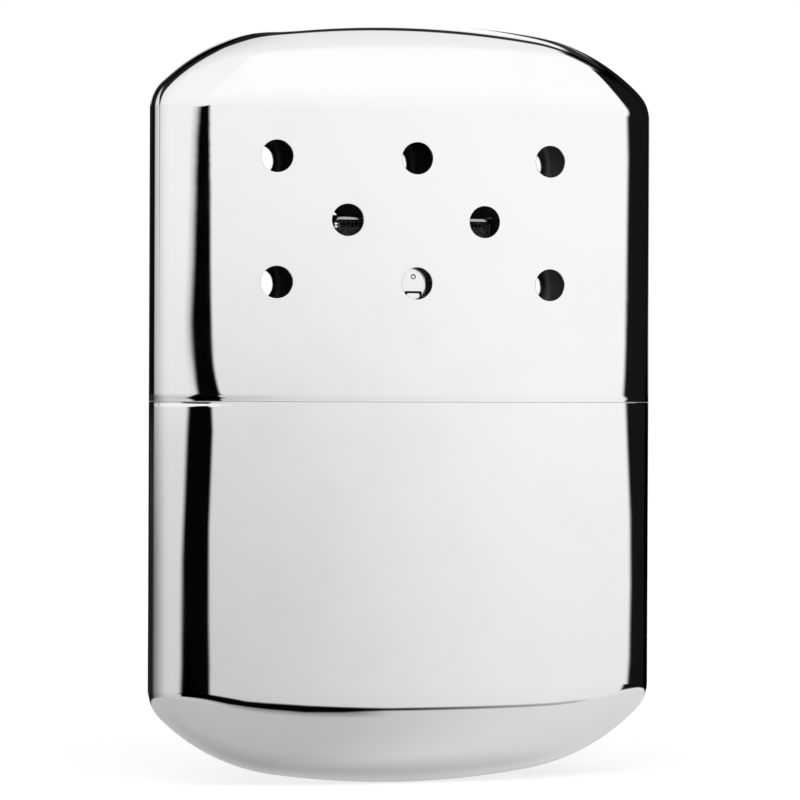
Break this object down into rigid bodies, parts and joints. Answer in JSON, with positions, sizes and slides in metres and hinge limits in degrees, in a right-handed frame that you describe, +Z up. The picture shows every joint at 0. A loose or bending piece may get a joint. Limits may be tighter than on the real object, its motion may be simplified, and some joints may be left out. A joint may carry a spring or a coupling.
{
  "type": "hand warmer",
  "caption": "Flat catalytic pocket hand warmer in polished metal: domed fuel tank with collar and filler neck, clip-on catalytic burner, and a pull-off lid with staggered vent holes.",
  "frame": {"origin": "under the middle of the case, at the lowest point of its domed base", "axes": "+Z up along the height with the lid on top, +X across the face, the front face looks towards -Y"},
  "size_m": [0.067, 0.013, 0.099],
  "materials": {
    "case_chrome": "mirror-polished plate on drawn metal, lightly worn",
    "collar_nickel": "satin nickel plate",
    "burner_steel": "bright drawn steel",
    "gauze_wire": "woven wire",
    "cotton": "loose absorbent wadding",
    "catalyst_fibre": "fine glass fibre, dark with catalyst"
  },
  "bodies": {
    "tank": {"tank_shell": "case_chrome", "fuel_cotton": "cotton", "tank_shoulder": "collar_nickel", "filler_neck": "collar_nickel", "neck_pad": "cotton", "neck_gauze": "gauze_wire"},
    "lid": {"lid_shell": "case_chrome"},
    "burner": {"burner_housing": "burner_steel", "burner_skirt": "burner_steel", "vapour_plate": "burner_steel", "catalyst_mat": "catalyst_fibre", "gauze_front": "gauze_wire", "gauze_back": "gauze_wire"}
  },
  "joints": [
    {"name": "lid_lift", "type": "slide", "parent": "tank", "child": "lid", "axis": [0, 0, 1], "range_m": [0, 0.04]},
    {"name": "burner_lift", "type": "slide", "parent": "tank", "child": "burner", "axis": [0, 0, 1], "range_m": [0, 0.012]}
  ]
}
